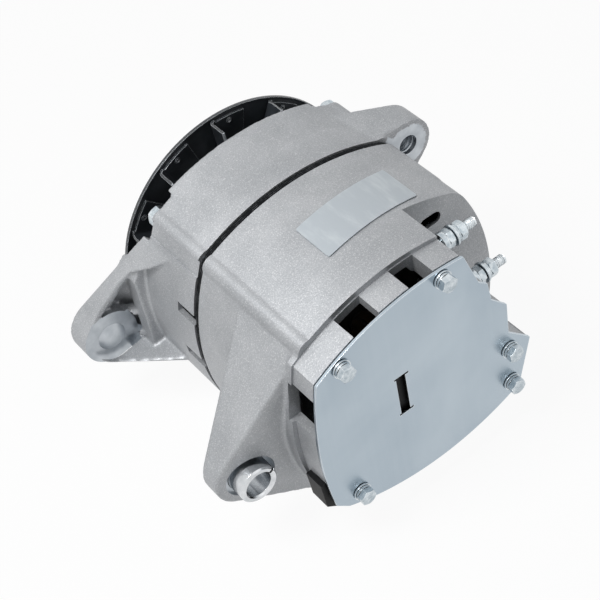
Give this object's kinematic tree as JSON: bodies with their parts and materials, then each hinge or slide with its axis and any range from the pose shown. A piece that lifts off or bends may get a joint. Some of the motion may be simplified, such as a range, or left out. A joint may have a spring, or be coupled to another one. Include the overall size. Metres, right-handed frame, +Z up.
{
  "type": "alternator",
  "caption": "Engine-driven alternator with cast end frames, a hinge lug on each frame, a threaded adjusting ear, a sheet-steel fan and a rear cover plate over the rectifier.",
  "frame": {"origin": "below the middle of the part's box, on the surface that it stands on", "axes": "+Y along the shaft toward the fan and the threaded shaft end, +Z up from the facet it stands on, +X to the right as seen from the rear plate, away from the hinge lugs"},
  "size_m": [0.1802, 0.1898, 0.1325],
  "materials": {
    "cast_aluminium": "shot-blasted, matt",
    "zinc_plate": "zinc plated, glossy, pale blue",
    "bright_steel": "ground",
    "black_paint": "semi-gloss black",
    "core_steel": "varnished laminations",
    "pole_iron": "turned, bare",
    "copper_wire": "enamelled",
    "slip_ring_copper": "turned",
    "black_plastic": "moulded",
    "carbon": "pressed",
    "label_foil": "blank foil"
  },
  "bodies": {
    "housing": {"drive_end_frame": "cast_aluminium", "rear_frame": "cast_aluminium", "stator_core": "core_steel", "stator_winding": "copper_wire", "front_bearing_outer_ring": "bright_steel", "rear_bearing_outer_ring": "bright_steel", "bearing_snap_ring": "bright_steel", "rear_cover_plate": "zinc_plate", "inner_cover": "black_plastic", "positive_heat_sink": "cast_aluminium", "rectifier_insulator": "black_plastic", "negative_heat_sink": "cast_aluminium", "voltage_regulator": "black_plastic", "brush_holder": "black_plastic", "output_stud": "zinc_plate", "ground_stud": "zinc_plate", "stud_insulator": "black_plastic", "name_plate": "label_foil", "through_bolt_1": "zinc_plate", "through_bolt_2": "zinc_plate", "through_bolt_3": "zinc_plate", "through_bolt_4": "zinc_plate", "cover_screw_1": "zinc_plate", "cover_screw_2": "zinc_plate", "cover_screw_3": "zinc_plate", "cover_screw_4": "zinc_plate", "cover_screw_5": "zinc_plate", "rectifier_diode_1": "bright_steel", "rectifier_diode_2": "bright_steel", "rectifier_diode_3": "bright_steel", "rectifier_diode_4": "bright_steel", "rectifier_diode_5": "bright_steel", "rectifier_diode_6": "bright_steel", "brush_spring_1": "bright_steel", "brush_spring_2": "bright_steel", "terminal_nut_1": "zinc_plate", "terminal_nut_2": "zinc_plate", "terminal_nut_3": "zinc_plate", "terminal_nut_4": "zinc_plate", "terminal_washer_1": "zinc_plate", "terminal_washer_2": "zinc_plate"},
    "rotor": {"shaft": "bright_steel", "rotor_pole_front": "pole_iron", "rotor_pole_rear": "pole_iron", "field_bobbin": "black_plastic", "field_coil": "copper_wire", "slip_ring_1": "slip_ring_copper", "slip_ring_2": "slip_ring_copper", "slip_ring_sleeve": "black_plastic", "front_bearing_inner_ring": "bright_steel", "rear_bearing_inner_ring": "bright_steel", "fan_spacer": "bright_steel", "fan": "black_paint", "shaft_washer": "zinc_plate", "shaft_nut": "zinc_plate"},
    "front_balls": {"front_bearing_ball_cage": "bright_steel"},
    "rear_balls": {"rear_bearing_ball_cage": "bright_steel"},
    "bush": {"split_bush": "zinc_plate"},
    "front_brush": {"brush_2": "carbon"},
    "rear_brush": {"brush_1": "carbon"}
  },
  "joints": [
    {"name": "rotor_spin", "type": "hinge", "parent": "housing", "child": "rotor", "pos_m": [0.0118, 0, 0.06578], "axis": [0, 1, 0], "continuous": true},
    {"name": "front_cage_turn", "type": "hinge", "parent": "housing", "child": "front_balls", "pos_m": [0.0118, 0.0323, 0.06578], "axis": [0, 1, 0], "continuous": true},
    {"name": "rear_cage_turn", "type": "hinge", "parent": "housing", "child": "rear_balls", "pos_m": [0.0118, -0.0476, 0.06578], "axis": [0, 1, 0], "continuous": true},
    {"name": "bush_slide", "type": "slide", "parent": "housing", "child": "bush", "axis": [0, 1, 0], "range_m": [-0.002, 0.009]},
    {"name": "front_brush_wear", "type": "slide", "parent": "housing", "child": "front_brush", "axis": [0, 0, -1], "range_m": [0, 0.004], "stiffness_N_per_m": 300, "springref_m": -0.01, "deforming": ["brush_spring_2"]},
    {"name": "rear_brush_wear", "type": "slide", "parent": "housing", "child": "rear_brush", "axis": [0, 0, -1], "range_m": [0, 0.004], "stiffness_N_per_m": 300, "springref_m": -0.01, "deforming": ["brush_spring_1"]}
  ],
  "couplings": [
    {"joint": "front_cage_turn", "follows": "rotor_spin", "ratio": 0.4},
    {"joint": "rear_cage_turn", "follows": "rotor_spin", "ratio": 0.42}
  ]
}
